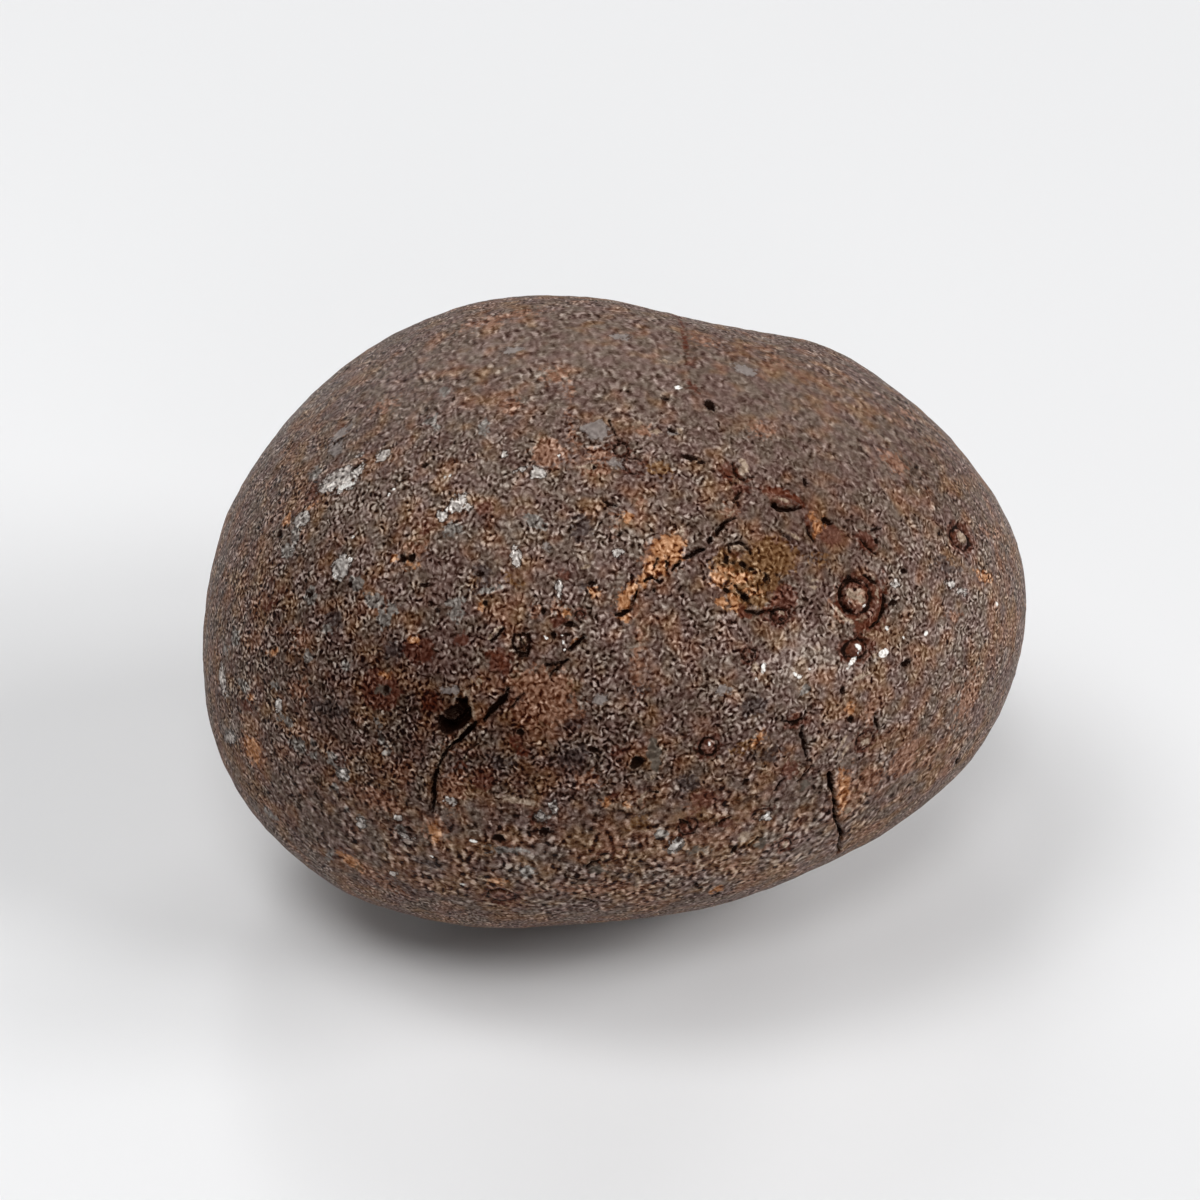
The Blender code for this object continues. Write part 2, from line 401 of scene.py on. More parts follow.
# Marks by kind: x, y, width, height, turn (degrees, counter-clockwise).
MARKS = {
    # pale metal flakes; (895, 584) and (951, 584) are painted glints
    "metal": (
        (336, 480, 32, 18, 8), (355, 474, 18, 11, 25), (346, 486, 18, 9, 5), (302, 519, 14, 16, 60), (341, 567, 17, 23, -10), (383, 456, 13, 11, 0),
        (359, 456, 6, 3, 0), (461, 498, 12, 6, 0), (456, 507, 18, 11, 0), (468, 508, 8, 7, 0), (443, 516, 11, 8, 0), (537, 473, 13, 11, 0),
        (523, 470, 9, 3.5, 10), (553, 807, 8, 11, 0), (452, 801, 10, 6, 0), (766, 816, 11, 6, 15), (224, 681, 8, 25, 10), (360, 824, 10, 10, 0),
        (398, 818, 8, 5, 0), (405, 836, 12, 5, 0), (675, 843, 13, 7, 20), (392, 873, 7, 4, 0), (293, 546, 6, 6, 0), (343, 775, 10, 8, 0),
        (278, 707, 5, 12, 0), (516, 557, 9, 17, 0), (560, 588, 5, 12, 0), (618, 553, 8, 7, 0), (505, 454, 5, 5, 0), (951, 584, 8, 6, 0),
        (895, 584, 6, 5, 0), (963, 592, 8, 5, 0), (231, 738, 6, 14, -35), (541, 815, 6, 5, 0),
    ),
    # duller grey flakes
    "grey": (
        (316, 474, 12, 12, 0), (287, 551, 13, 15, 0), (296, 533, 10, 14, 0), (452, 530, 18, 12, 0), (431, 420, 12, 8, 0), (436, 428, 5, 5, 0),
        (357, 583, 14, 14, 0), (311, 596, 12, 17, 0), (375, 600, 20, 13, 0), (392, 608, 13, 10, 0), (383, 620, 13, 17, 0), (455, 603, 18, 8, 0),
        (457, 616, 14, 13, 0), (328, 629, 10, 8, 0), (244, 686, 10, 14, 0), (236, 637, 9, 14, 0), (275, 686, 9, 8, 0), (231, 736, 11, 20, -35),
        (285, 721, 14, 8, 0), (297, 745, 16, 13, 0), (314, 756, 9, 9, 0), (313, 743, 6, 6, 0), (333, 756, 13, 5, 0), (331, 763, 8, 5, 0),
        (333, 788, 8, 9, 0), (345, 665, 12, 13, 0), (308, 658, 9, 12, 0), (381, 738, 6, 25, 15), (388, 752, 6, 8, 0), (342, 775, 15, 13, 0),
        (346, 810, 6, 6, 0), (361, 823, 12, 14, 0), (401, 832, 12, 14, 0), (527, 870, 17, 15, 0), (505, 850, 36, 6, 2), (534, 521, 24, 13, -30),
        (484, 427, 11, 14, 0), (662, 833, 14, 10, 0), (542, 817, 13, 12, 0), (446, 392, 12, 8, 0), (805, 690, 9, 10, 0), (457, 716, 5, 12, -50),
        (330, 855, 5, 20, -20), (226, 650, 6, 10, 0), (372, 604, 9, 8, 0), (490, 590, 18, 5, 15), (270, 812, 12, 8, 0), (676, 846, 16, 11, 15),
    ),
    # smooth chips
    "chip": (
        (341, 433, 21, 10, 20), (336, 449, 14, 12, 0), (598, 431, 23, 18, 0), (585, 428, 13, 5, 0), (616, 464, 12, 8, 0), (744, 370, 22, 10, -12),
        (450, 690, 16, 7, 0), (512, 350, 16, 7, 10), (620, 336, 14, 6, 0),  (600, 700, 12, 9, 0), (724, 690, 12, 9, 0),
        (672, 433, 6, 4, 0), (547, 547, 6, 6, 0),
    ),
    # smooth and dark grey
    "slate": ((655, 756, 13, 34, 12), (806, 784, 14, 9, 30), (761, 844, 12, 10, 0), (383, 690, 14, 10, 0), (700, 849, 20, 6, 0), (596, 869, 20, 9, 0)),
    # painted glints: near-white spots that stand in for highlights
    "painted_glint": (
        (347, 486, 12, 6, 5), (333, 485, 8, 3.5, 10), (343, 489, 8, 4, 0), (354, 484, 4, 3, 0), (351, 559, 4.5, 5, 0), (335, 576, 5, 4, 0), (307, 514, 4, 5, 0),
        (352, 537, 3.5, 3.5, 0), (394, 489, 3.5, 3, 0), (389, 494, 3, 3, 0), (445, 477, 3, 3, 0), (450, 476, 3, 3, 0), (678, 387, 8, 4.5, 0),
        (859, 648, 4.5, 9, 30), (854, 662, 12.5, 4.6, 26), (847, 668, 4, 3.4, 0), (884, 654, 11, 10, 0), (888, 628, 4.4, 6, 0), (764, 669, 4.6, 12.5, -10),
        (756, 680, 4, 3, 0), (795, 674, 5, 7, 0), (799, 677, 6, 4, 0), (810, 668, 3, 3, 0), (546, 639, 3, 6.5, 45), (562, 636, 2.4, 2.4, 0),
        (564, 643, 3, 4, 0), (565, 650, 2.4, 3, 0), (559, 455, 3.4, 2.6, 0), (709, 744, 3, 4, 0), (865, 606, 4, 4, 0), (859, 654, 3, 3, 0),
        (560, 583, 3, 6, 0), (904, 637, 3, 3, 0), (927, 634, 4, 4, 0), (996, 604, 4, 5, 0), (767, 815, 6, 3.4, 15), (474, 841, 7, 4, 0),
        (463, 884, 8, 3, 0), (432, 856, 4, 3, 0),
    ),
    # strong orange rust
    "orange": (
        (668, 551, 34, 27, 30), (676, 541, 18, 14, 20), (657, 567, 20, 19, 0), (644, 579, 16, 12, 35), (632, 590, 12, 14, 0), (624, 602, 15, 16, 0), (624, 618, 8, 8, 0), (594, 592, 9, 9, 0),
        (566, 613, 9, 6, 0), (310, 508, 8, 4, 0), (287, 519, 7, 9, 0), (395, 558, 9, 9, 0), (412, 565, 10, 5, 0), (253, 750, 15, 21, 0),
        (273, 652, 10, 8, 0), (434, 833, 13, 17, 0), (348, 861, 24, 9, -15), (725, 571, 18, 8, 0), (719, 580, 15, 12, 0), (728, 586, 14, 6, 0), (742, 577, 16, 9, 0), (722, 601, 14, 9, 0), (738, 607, 14, 9, -20), (752, 592, 14, 7, 0), (733, 598, 10, 8, 0), (498, 881, 12, 5, 0),
        (482, 604, 5, 7, 0), (251, 698, 7, 8, 0), (415, 640, 9, 8, 0), (628, 518, 11, 9, 0), (628, 805, 6, 7, 0), (716, 890, 10, 7, 0),
        (843, 793, 11, 38, 0), (850, 709, 8, 9, 0), (577, 640, 10, 5, 35), (984, 578, 16, 9, 0), (385, 675, 8, 6, 0), (759, 738, 7, 15, -40),
        (817, 529, 17, 7, 60), (812, 516, 12, 5, -30), (606, 802, 9, 8, 0),
    ),
    # paler, browner rust
    "clay": (
        (385, 405, 20, 13, 0), (554, 376, 20, 11, 0), (418, 548, 15, 14, 0), (895, 462, 24, 20, 0), (906, 412, 12, 10, 0), (780, 361, 14, 7, 0),
        (380, 800, 34, 18, 0), (600, 470, 20, 10, 0), (600, 455, 22, 13, 0), (549, 452, 28, 26, 0), (566, 455, 8, 14, 0), (573, 431, 5, 18, 12),
        (512, 405, 16, 14, 0), (570, 395, 6, 14, 10), (545, 702, 50, 34, 30), (523, 714, 22, 20, 0), (540, 684, 60, 26, 0), (528, 690, 20, 12, 0), (560, 712, 40, 20, 20), (639, 666, 8, 38, 0),
        (641, 801, 11, 10, 0), (733, 868, 12, 9, 0), (588, 780, 26, 16, 0), (300, 690, 16, 20, 0), (640, 500, 8, 8, 0), (760, 430, 16, 9, 0),
        (700, 340, 22, 8, 0), (610, 850, 30, 14, 0), (968, 700, 20, 40, -20), (905, 760, 30, 30, 0), (500, 318, 60, 12, 8), (380, 880, 50, 12, -18),
        (600, 888, 60, 10, 0), (452, 744, 8, 18, -40), (870, 780, 26, 24, 0), (300, 640, 14, 20, 0), (614, 525, 6, 9, 0), (535, 610, 9, 9, 0),
        (558, 607, 13, 13, 0), (798, 716, 8, 8, 0), (870, 716, 12, 14, 0), (785, 845, 12, 12, 0), (954, 617, 12, 8, 0), (990, 535, 12, 8, 0),
        (841, 611, 9, 14, 20), (856, 597, 20, 20, 0), (874, 600, 4, 20, 10), (455, 790, 20, 40, -20), (700, 802, 20, 16, 0), (434, 832, 22, 26, 0), (253, 750, 24, 30, 0), (663, 556, 36, 34, 30),
        (843, 793, 20, 46, 0), (646, 430, 12, 8, 0), (730, 512, 10, 6, 0), (625, 607, 20, 26, 10),
    ),
    # dark red-brown
    "red": (
        (780, 491, 26, 8, 0), (796, 499, 12, 9, -40), (767, 491, 9, 6, 0), (831, 534, 24, 20, 0), (784, 597, 26, 24, 0), (870, 626, 28, 13, 0),
        (884, 606, 7, 34, 0), (735, 471, 6, 16, 30), (685, 342, 6, 22, 0), (690, 362, 7, 10, 0), (677, 316, 13, 5, -10), (693, 387, 12, 6, -40),
        (313, 495, 14, 17, 0), (425, 529, 14, 12, 0), (484, 508, 16, 14, 0), (500, 662, 22, 25, 0), (514, 741, 12, 9, 0), (525, 752, 11, 9, 0),
        (482, 781, 22, 16, 0), (502, 896, 26, 12, 0), (868, 625, 22, 12, 0), (867, 542, 22, 20, 0), (830, 530, 20, 16, 0), (777, 599, 8, 16, 0),
        (768, 580, 6, 8, 0), (688, 827, 17, 16, 0), (724, 822, 18, 11, 0), (430, 702, 20, 20, 0), (727, 471, 12, 12, 0), (741, 488, 16, 12, 0),
        (782, 496, 34, 13, -12), (877, 603, 22, 40, 0), (420, 650, 30, 26, 0), (380, 690, 40, 40, 0), (462, 640, 14, 12, 0), (620, 750, 16, 14, 0),
        (790, 770, 14, 20, 0), (560, 620, 14, 10, 0), (706, 800, 24, 18, 0), (858, 650, 28, 24, 0), (246, 706, 20, 10, 0),
        (270, 605, 14, 10, 0), (340, 852, 14, 8, 0), (613, 797, 9, 9, 0), (562, 575, 13, 8, 0), (799, 722, 20, 12, 0),
        (781, 617, 22, 20, 0), (709, 749, 17, 18, 0), (735, 560, 20, 15, 0),
    ),
    # yellow-brown
    "ochre": (
        (771, 557, 50, 34, 10), (752, 577, 50, 42, 15), (726, 566, 24, 32, 0), (757, 600, 18, 15, 0), (740, 600, 30, 20, 0), (511, 579, 14, 11, 0), (746, 845, 13, 5, 0),
        (640, 822, 14, 11, 0), (820, 560, 14, 10, 0), (480, 682, 7, 6, 0), (745, 748, 20, 8, 15), (660, 470, 20, 14, 0),
    ),
    # blue-black
    "blue": (
        (483, 572, 16, 16, 0), (478, 590, 14, 9, 0), (582, 527, 18, 24, 0), (745, 596, 11, 12, 0), (334, 620, 15, 22, 0), (500, 762, 22, 11, 0),
        (330, 710, 36, 18, 0), (395, 650, 28, 14, 0), (945, 565, 24, 12, 0), (755, 706, 24, 20, 0), (770, 755, 28, 12, 0), (627, 878, 12, 18, 0),
        (395, 885, 30, 11, 0), (430, 865, 20, 9, 0), (584, 586, 12, 7, 0), (571, 723, 15, 11, 0), (495, 768, 12, 9, 0), (735, 560, 12, 9, 0),
        (640, 690, 18, 14, 0), (575, 757, 24, 20, 0), (690, 785, 20, 14, 0),
    ),
    # pale tan; (755, 666), (822, 649) and (875, 657) are painted glints
    "tan": (
        (783, 499, 14, 3.5, -8), (743, 463, 7, 6, 0), (666, 361, 9, 3, 0), (781, 613, 5, 5, 0), (850, 592, 8, 6, 0), (862, 599, 7, 6, 0),
        (814, 580, 9, 2.5, 0), (814, 587, 9, 2.5, 0),
        (738, 548, 18, 4.5, 5), (744, 469, 8, 7, -40), (962, 538, 8, 11, 0), (853, 595, 10, 8, 20), (859, 591, 7, 5, 0), (584, 467, 17, 4.6, 3), (585, 566, 10, 4, 8),
        (793, 536, 12, 4.5, -25), (862, 676, 14, 3.6, 15), (842, 742, 15, 3, 50), (846, 749, 11, 3, 60), (466, 693, 8, 7, 0), (466, 758, 6, 6, 0),
        (479, 682, 5, 4, 0), (681, 533, 6, 8, 0), (865, 742, 8, 7, 0), (785, 845, 6, 6, 0), (522, 801, 34, 6, -8), (822, 649, 5, 4, 0),
        (755, 666, 7, 10, 0), (781, 613, 6, 5, 0), (640, 801, 6, 8, 0), (644, 795, 4, 8, -40), (656, 776, 13, 3, 10), (745, 837, 13, 9, 0),
        (776, 862, 5, 6, 0), (666, 899, 12, 3.6, 0), (637, 882, 4, 13, 0), (654, 431, 8, 4, 0), (640, 423, 6, 3, 0), (680, 430, 5, 5, 0),
        (519, 638, 4, 4, 0), (525, 641, 4, 4, 0), (848, 809, 8, 6, 0), (605, 856, 9, 5, 0), (875, 657, 4, 5, 0), (482, 878, 6, 4, 0),
    ),
    # smooth, wet-looking
    "gloss": (
        (862, 648, 14, 18, 0), (880, 606, 12, 30, 0), (830, 532, 20, 16, 0), (709, 748, 15, 16, 0), (782, 491, 28, 8, -12), (524, 653, 16, 14, 0), (781, 617, 15, 14, 0), (764, 668, 16, 16, 0), (884, 654, 14, 14, 0), (502, 892, 26, 12, 0), (456, 716, 26, 26, 0),
    ),
}
# Dark red lines: points (x, y, width).
STAINS = (
    [(764, 492, 4), (770, 490, 6), (778, 490, 7), (786, 492, 7), (793, 495, 7), (799, 500, 7), (802, 507, 4)],
    [(870, 586, 4), (878, 594, 6), (883, 604, 7), (881, 616, 7), (873, 624, 9), (863, 627, 8), (855, 623, 4)],
    [(838, 600, 3), (842, 608, 5), (849, 615, 5), (857, 619, 4)],
    [(866, 588, 4), (871, 597, 7), (873, 606, 4)],
    [(861, 541, 4), (868, 547, 6), (877, 553, 4)],
    [(806, 514, 3), (807, 523, 4.5), (810, 532, 3)],
    [(733, 464, 2.5), (736, 471, 4), (741, 477, 4), (748, 480, 4), (753, 476, 2.5)],
    [(722, 470, 6), (727, 473, 10), (731, 478, 6)],
    [(760, 614, 5), (772, 604, 6), (779, 597, 7), (780, 588, 5)],
    [(876, 568, 2.5), (884, 580, 3.5), (886, 592, 3.5)],
    [(742, 606, 5), (743, 614, 8), (751, 618, 4)],
    [(848, 642, 4), (849, 654, 5), (855, 661, 5), (863, 660, 3)],
    [(860, 629, 5), (861, 638, 5), (867, 644, 4), (869, 652, 3)],
    [(676, 317, 3), (681, 323, 4.5), (684, 333, 5), (686, 342, 5.5), (686, 350, 4)],
    [(484, 655, 4), (490, 652, 5), (500, 656, 6), (506, 664, 6), (500, 671, 4)],
    [(509, 741, 5), (514, 746, 6), (522, 751, 6), (527, 757, 4)],
    [(454, 768, 3), (462, 762, 4), (468, 767, 3)],
    [(425, 705, 7), (431, 702, 9), (436, 697, 5)],
    [(955, 531, 4), (951, 538, 5), (956, 547, 5)],
)
# Thin pale lips and lines: points (x, y, width).
LIPS = (
    [(438, 764, 2), (442, 757, 3.4), (447, 748, 3), (454, 741, 3), (461, 733, 3.4), (468, 726, 3.4), (472, 720, 2)],
    [(469, 697, 1.4), (472, 706, 2.4), (473, 713, 2.4), (475, 720, 1.6)],
    [(331, 790, 2), (336, 800, 3), (343, 808, 1.8)],
    [(716, 514, 1.2), (728, 515, 2.2), (734, 512, 1.2)],
    [(872, 574, 1.5), (877, 588, 2.6), (878, 604, 2.8), (874, 616, 1.5)],
    [(837, 607, 2), (842, 615, 4), (848, 620, 3.5), (854, 623, 1.8)],
    [(489, 638, 1.6), (495, 632, 2.8), (502, 626, 1.6)],
)
# Broad areas that differ from the rest: x, y, width, height, how much lighter, how much warmer,
# how much more contrast from grain to grain. The lightness holds the stone's own tone together with
# painted light and shade: a painted sheen on the right and painted shade over the lower left.
AREAS = (
    (420, 705, 230, 150, -0.15, 0.02, 0.05), (580, 765, 270, 120, -0.10, 0.0, 0.10), (820, 525, 150, 110, -0.08, 0.03, -0.22),
    (580, 345, 380, 95, 0.07, -0.08, -0.50), (820, 400, 250, 120, 0.0, 0.0, -0.50), (975, 630, 110, 220, 0.04, 0.05, 0.0),
    # (797, 656) is a painted sheen: lighter, whiter grain where the lamps' highlight falls on the right.
    (797, 656, 56, 44, 0.20, -0.14, 0.2), (840, 680, 120, 60, 0.05, 0.0, 0.0), (600, 860, 480, 110, 0.0, 0.18, 0.30), (270, 660, 120, 230, 0.0, 0.10, 0.35),
    (470, 430, 220, 120, 0.03, 0.04, 0.05), (345, 480, 90, 90, 0.0, 0.0, 0.2), (640, 560, 160, 100, 0.0, -0.03, 0.1), (300, 470, 60, 60, 0.0, 0.05, 0.0),
    (430, 702, 26, 24, -0.22, 0.0, 0.0), (757, 574, 76, 64, -0.05, 0.05, 0.4), (860, 720, 160, 100, 0.04, 0.05, 0.0), (900, 520, 120, 90, 0.02, 0.0, 0.1),
    (930, 470, 90, 90, -0.07, 0.0, 0.0), (300, 650, 90, 120, -0.07, -0.06, 0.0), (350, 775, 90, 90, -0.06, 0.0, 0.05), (945, 620, 120, 90, 0.05, 0.0, 0.0),
    (840, 705, 60, 50, -0.05, 0.0, 0.0), (960, 750, 70, 80, 0.04, 0.08, 0.0), (440, 500, 180, 120, 0.035, 0.0, 0.0), (480, 340, 120, 50, 0.03, 0.0, 0.0),
    (740, 350, 120, 60, -0.05, 0.0, 0.0), (800, 860, 110, 60, 0.08, 0.05, 0.0), (690, 880, 200, 50, 0.03, 0.0, 0.0), (540, 885, 80, 30, -0.04, 0.0, 0.0), (600, 405, 280, 110, 0.0, -0.13, 0.0),
    # (690, 345) darkens beside the waist crease: painted shade in the crease.
    (680, 580, 60, 60, -0.03, -0.04, 0.0), (690, 345, 30, 70, -0.05, 0.05, 0.0), (385, 510, 160, 120, 0.03, 0.0, 0.05), (523, 645, 15, 17, -0.18, 0.1, 0.0),
    (270, 490, 60, 120, 0.0, 0.0, 0.15), (395, 730, 90, 90, 0.0, 0.0, 0.12), (790, 540, 130, 90, 0.0, 0.0, -0.16),
    (720, 850, 140, 60, 0.04, 0.0, 0.0), (340, 620, 80, 80, 0.0, -0.08, 0.0), (720, 640, 120, 60, 0.0, -0.06, 0.0),
)


# Where the grain is coarser: x, y, width, height, how much.
COARSE = ((640, 872, 620, 110, 1.0), (350, 838, 160, 90, 0.7), (600, 350, 460, 120, 1.0), (830, 390, 240, 130, 1.0))


# ------------------------------------------------------------------ marks on the sides the view does not reach
def walk(rng, azimuth, elevation, length, width):
    """A wandering line on the stone from there, length view pixels long."""
    heading = rng.uniform(0, 2 * math.pi)
    out = []
    steps = max(3, int(length / 9))
    for i in range(steps + 1):
        d = direction(azimuth, elevation)[None, :]
        place = Place.on(azimuth, elevation)
        taper = math.sin(math.pi * (i + 0.6) / (steps + 1.2)) ** 0.6
        out.append((surface(d)[0], np.cross(place.s, place.t), width * taper * rng.uniform(0.7, 1.25) / 2 * MM_PER_PX))
        step = length / steps * MM_PER_PX / 12.5 * 57.3
        azimuth += step * math.cos(heading) / max(0.25, math.cos(math.radians(elevation)))
        elevation += step * math.sin(heading)
        heading += rng.normal() * 0.45
    return out


def hidden_spots(count, seed, margin=0.10):
    """count places over the part of the stone that faces away from the view."""
    rng = np.random.default_rng(seed)
    u = even_sphere(count * 5)
    u = u[rng.permutation(len(u))]
    u = u[(u @ BACK < -margin)][:count]
    return [(math.degrees(math.atan2(d[1], d[0])) + rng.normal() * 4, float(np.clip(math.degrees(math.asin(d[2])) + rng.normal() * 4, -88, 88)), rng) for d in u]


cracks = [(trace(points), depth) for points, depth in CRACKS]
for azimuth, elevation, rng in hidden_spots(9, 5):
    cracks.append((walk(rng, azimuth, elevation, rng.uniform(30, 110), rng.uniform(2, 4.5)), rng.uniform(0.1, 0.24)))
holes = [(Place(x, y), w, h, turn, depth) for x, y, w, h, turn, depth in HOLES]
for azimuth, elevation, rng in hidden_spots(34, 11):
    holes.append((Place.on(azimuth, elevation), rng.uniform(5, 13), rng.uniform(4, 9), rng.uniform(0, 180), rng.uniform(0.06, 0.16)))
rings = [(Place(x, y), w, h, t, depth) for x, y, w, h, t, depth in RINGS]
for azimuth, elevation, rng in hidden_spots(9, 12):
    w = rng.uniform(12, 30)
    rings.append((Place.on(azimuth, elevation), w, w * rng.uniform(0.8, 1.0), rng.uniform(3, 5.5), rng.uniform(0.05, 0.12)))
marks = {kind: [(Place(x, y), w, h, turn) for x, y, w, h, turn in table] for kind, table in MARKS.items()}
# The hidden side gets marks of every kind, painted glints among them.
for kind, count, low, high, flat, seed in (
    ("metal", 24, 7, 20, 0.65, 21), ("grey", 44, 8, 20, 0.7, 31), ("chip", 14, 8, 22, 0.65, 22), ("slate", 7, 12, 30, 0.5, 33), ("painted_glint", 22, 3.5, 7, 0.8, 23),
    ("orange", 28, 7, 22, 0.7, 24), ("clay", 44, 12, 44, 0.65, 34), ("red", 30, 12, 36, 0.7, 25), ("ochre", 9, 14, 44, 0.75, 26), ("blue", 16, 12, 28, 0.7, 27),
    ("tan", 22, 5, 16, 0.5, 28), ("gloss", 9, 14, 28, 0.8, 29),
):
    for azimuth, elevation, rng in hidden_spots(count, seed):
        w = rng.uniform(low, high)
        marks[kind].append((Place.on(azimuth, elevation), w, w * rng.uniform(flat * 0.7, min(1.0, flat * 1.3)), rng.uniform(0, 180)))
lips = [trace(points) for points in LIPS]
stains = [trace(points) for points in STAINS]
coarse_areas = [(Place(x, y), w, h, amount) for x, y, w, h, amount in COARSE]
areas = [(Place(x, y), w, h, tone_and_painted_light, warmer, more) for x, y, w, h, tone_and_painted_light, warmer, more in AREAS]


# ------------------------------------------------------------------ where the mesh is finer
def fineness(p, level):
    """Which points are near something that needs small triangles, at each level of fineness."""
    need = np.zeros(len(p), bool)
    reach = (0.22, 0.10, 0.03)[level]
    for traced, _depth in cracks:
        d, half, _side = line(p, traced)
        need |= d - half < reach
    for place, w, h, turn, _depth in holes:
        k, sd, _q = spot(p, place, w, h, turn)
        need[k[np.abs(sd) < reach]] = True
    for place, w, h, t, _depth in rings:
        k, sd, _q = spot(p, place, w, h)
        need[k[np.abs(sd) - t / 2 * MM_PER_PX < (0.20, 0.07, -0.03)[level]]] = True
    if level < 2:
        for kind in ("metal", "chip", "grey", "painted_glint", "tan", "orange"):
            for place, w, h, turn in marks[kind]:
                if min(w, h) < (12, 5)[level]:
                    k, sd, _q = spot(p, place, w, h, turn)
                    need[k[np.abs(sd) < (0.14, 0.06)[level]]] = True
    return need


u, tris = icosphere(6)
for level in range(3):
    edges, sides = edges_of(tris)
    mids = u[edges[:, 0]] + u[edges[:, 1]]
    mids = surface(mids / np.linalg.norm(mids, axis=1)[:, None])
    u, tris = split(u, tris, edges, sides, fineness(mids, level))
    print("stone triangles", len(tris))
p0 = surface(u)
n0 = normals_of(p0, tris)

# ------------------------------------------------------------------ relief and masks
q0 = warped(warped(warped(p0, 0.9, 0.05, 40), 0.28, 0.045, 50), 0.12, 0.022, 60)
height = (0.085 * noise(p0, 5.5, 1) + 0.05 * noise(p0, 2.6, 2) + 0.03 * noise(p0, 1.2, 3)
          + 0.026 * noise(p0, 0.62, 4) + 0.020 * noise(p0, 0.36, 5))
way = u @ np.stack([direction(azimuth, elevation) for azimuth, elevation, _reach, _mm in FORM], axis=1)
for k, (_azimuth, _elevation, reach, mm) in enumerate(FORM):
    height += mm * np.exp(-((np.degrees(np.arccos(np.clip(way[:, k], -1.0, 1.0))) / reach) ** 2))
FAR = 3.0
# Each field is a signed distance in mm to a kind of mark. The dark field gives painted shade in cracks and holes, and
# the dark rims of the ring chondrules.
fields = {kind: np.full(len(p0), FAR) for kind in ("dark", "stain", *marks)}
shade = np.zeros(len(p0))
warmth = np.zeros(len(p0))
contrast = np.ones(len(p0))
coarse = np.zeros(len(p0))

for traced, depth in cracks:
    d, half, side = line(q0, traced)
    half = half * (1 + 0.55 * noise(p0, 0.32, 71)) + 0.018 * noise(p0, 0.11, 72)
    height -= depth * np.clip(1 - d / (half + 0.035), 0, 1) ** 0.8
    height += 0.018 * np.exp(-(((d - half - 0.09) / 0.07) ** 2)) * (side > 0)
    fields["dark"] = np.minimum(fields["dark"], d - half)
for place, w, h, turn, depth in holes:
    k, sd, q = spot(q0, place, w, h, turn)
    rough = 0.05 * noise(p0[k], 0.25, 73) + 0.03 * noise(p0[k], 0.11, 74)
    sd, q = sd + rough, q + rough / (min(w, h) / 2 * MM_PER_PX)
    height[k] -= depth * smooth(1 - q / 1.25) * 1.15
    height[k] += 0.014 * np.exp(-(((sd - 0.06) / 0.06) ** 2))
    fields["dark"][k] = np.minimum(fields["dark"][k], sd)
for place, w, h, t, depth in rings:
    k, sd, q = spot(q0, place, w, h)
    broken = noise(p0[k], 0.45, 90)
    sd = sd + 0.035 * noise(p0[k], 0.2, 91) + 0.05 * noise(p0[k], 0.42, 92)
    thick = t / 2 * MM_PER_PX
    height[k] -= depth * np.exp(-((sd / (thick * 1.1)) ** 2))
    height[k] += depth * 0.15 * smooth(1 - q)
    fields["dark"][k] = np.minimum(fields["dark"][k], np.abs(sd) - thick * (0.42 + 1.0 * broken))
    fields["red"][k] = np.minimum(fields["red"][k], np.abs(sd) - thick * 1.7)
lift = {"metal": 0.010, "grey": 0.006, "chip": -0.012, "slate": -0.02, "orange": -0.012, "clay": -0.008, "ochre": -0.02, "blue": -0.02,
        "gloss": 0.0, "red": -0.008, "tan": 0.014, "painted_glint": 0.012}
for kind, table in marks.items():
    for place, w, h, turn in table:
        k, sd, q = spot(q0, place, w, h, turn)
        height[k] += lift[kind] * smooth(0.5 - sd / 0.16)
        fields[kind][k] = np.minimum(fields[kind][k], sd)
for traced in lips:
    d, half, _side = line(q0, traced)
    height += 0.03 * np.exp(-((d / (half + 0.03)) ** 2))
    fields["tan"] = np.minimum(fields["tan"], d - half)
for traced in stains:
    d, half, _side = line(q0, traced)
    height -= 0.03 * np.exp(-((d / (half + 0.03)) ** 2))
    fields["stain"] = np.minimum(fields["stain"], d - half)
# Broad areas: lightness with its painted sheen and painted shade, warmth and contrast.
for place, w, h, tone_and_painted_light, warmer, more in areas:
    k, _sd, q = spot(p0, place, w, h, 0, 6.0)
    shade[k] += tone_and_painted_light * np.exp(-(q ** 2))
    warmth[k] += warmer * np.exp(-(q ** 2))
    contrast[k] += more * np.exp(-(q ** 2))
for place, w, h, amount in coarse_areas:
    k, _sd, q = spot(p0, place, w, h, 0, 6.0)
    coarse[k] = np.maximum(coarse[k], amount * np.exp(-(q ** 4) * 0.7))
coarse *= smooth(((p0 - (1.34, -0.35, 10.9)) @ BACK + 3.0) / 3.0)       # not round the back

height *= smooth(p0[:, 2] / 0.8)
p = p0 + n0 * height[:, None]
p[:, 2] = np.maximum(p[:, 2], 0.0)

mesh = bpy.data.meshes.new("meteorite_surface")
mesh.from_pydata((p * MM).tolist(), [], tris.tolist())
mesh.shade_smooth()
for name, values in (*fields.items(), ("shade", shade), ("warmth", warmth), ("contrast", contrast), ("coarse", coarse)):
    mesh.attributes.new(name, "FLOAT", "POINT").data.foreach_set("value", values.astype(np.float32))
stone = bpy.data.objects.new("meteorite_surface", mesh)
bpy.context.scene.collection.objects.link(stone)


# ------------------------------------------------------------------ materials
def linear(r, g, b):
    return tuple((c / 255 / 12.92) if c <= 10 else ((c / 255 + 0.055) / 1.055) ** 2.4 for c in (r, g, b)) + (1.0,)


